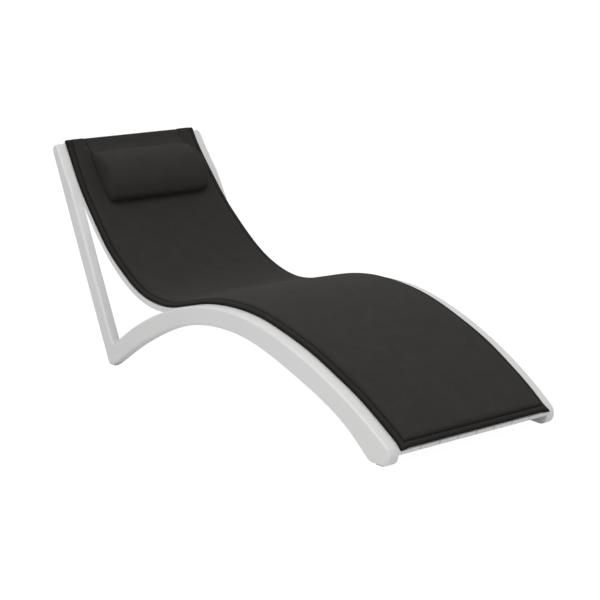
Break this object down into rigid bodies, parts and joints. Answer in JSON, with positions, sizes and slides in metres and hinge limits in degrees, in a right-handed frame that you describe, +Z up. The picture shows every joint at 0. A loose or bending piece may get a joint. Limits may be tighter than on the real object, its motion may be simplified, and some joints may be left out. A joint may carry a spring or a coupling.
{
  "type": "sun lounger",
  "caption": "Slatted sun lounger with curved side frames, a padded seat cushion and a sliding head pillow on a weighted strap.",
  "frame": {"origin": "on the floor, under the middle of the whole outline", "axes": "+X from the head to the foot, +Y to the sitter's left, +Z up"},
  "size_m": [1.4952, 0.6, 0.5962],
  "materials": {
    "white_resin": "satin moulded",
    "glide_rubber": "matte",
    "screw_steel": "plain",
    "pad_fabric": "woven",
    "strap_fabric": "woven"
  },
  "bodies": {
    "lounger": {"side_frame_left": "white_resin", "side_frame_right": "white_resin", "slat_1_left": "white_resin", "slat_1_right": "white_resin", "slat_2_left": "white_resin", "slat_2_right": "white_resin", "slat_3_left": "white_resin", "slat_3_right": "white_resin", "slat_4_left": "white_resin", "slat_4_right": "white_resin", "head_rail": "white_resin", "thigh_rail": "white_resin", "knee_rail": "white_resin", "calf_rail": "white_resin", "foot_rail": "white_resin", "lumbar_batten": "white_resin", "seat_batten": "white_resin", "rear_glide_left": "glide_rubber", "rear_glide_right": "glide_rubber", "front_glide_left": "glide_rubber", "front_glide_right": "glide_rubber", "slat_screws": "screw_steel", "frame_screws_left": "screw_steel", "frame_screws_right": "screw_steel", "head_ties": "strap_fabric", "foot_ties": "strap_fabric", "flap_wrap": "strap_fabric", "pillow_flap": "strap_fabric", "rear_strap": "strap_fabric", "seat_pad": "pad_fabric"},
    "pillow": {"pillow": "pad_fabric"},
    "counterweight": {"counterweight": "strap_fabric"}
  },
  "joints": [
    {"name": "pillow_slide", "type": "hinge", "parent": "lounger", "child": "pillow", "pos_m": [0.23963, 0, 1.18238], "axis": [0, -1, 0], "range_deg": [-1, 4.5], "deforming": ["pillow_flap"]},
    {"name": "counterweight_rise", "type": "slide", "parent": "lounger", "child": "counterweight", "axis": [0, 0, 1], "range_m": [-0.0193, 0.0862], "deforming": ["rear_strap"]}
  ],
  "couplings": [
    {"joint": "counterweight_rise", "follows": "pillow_slide", "m_per_rad": 1.095}
  ]
}
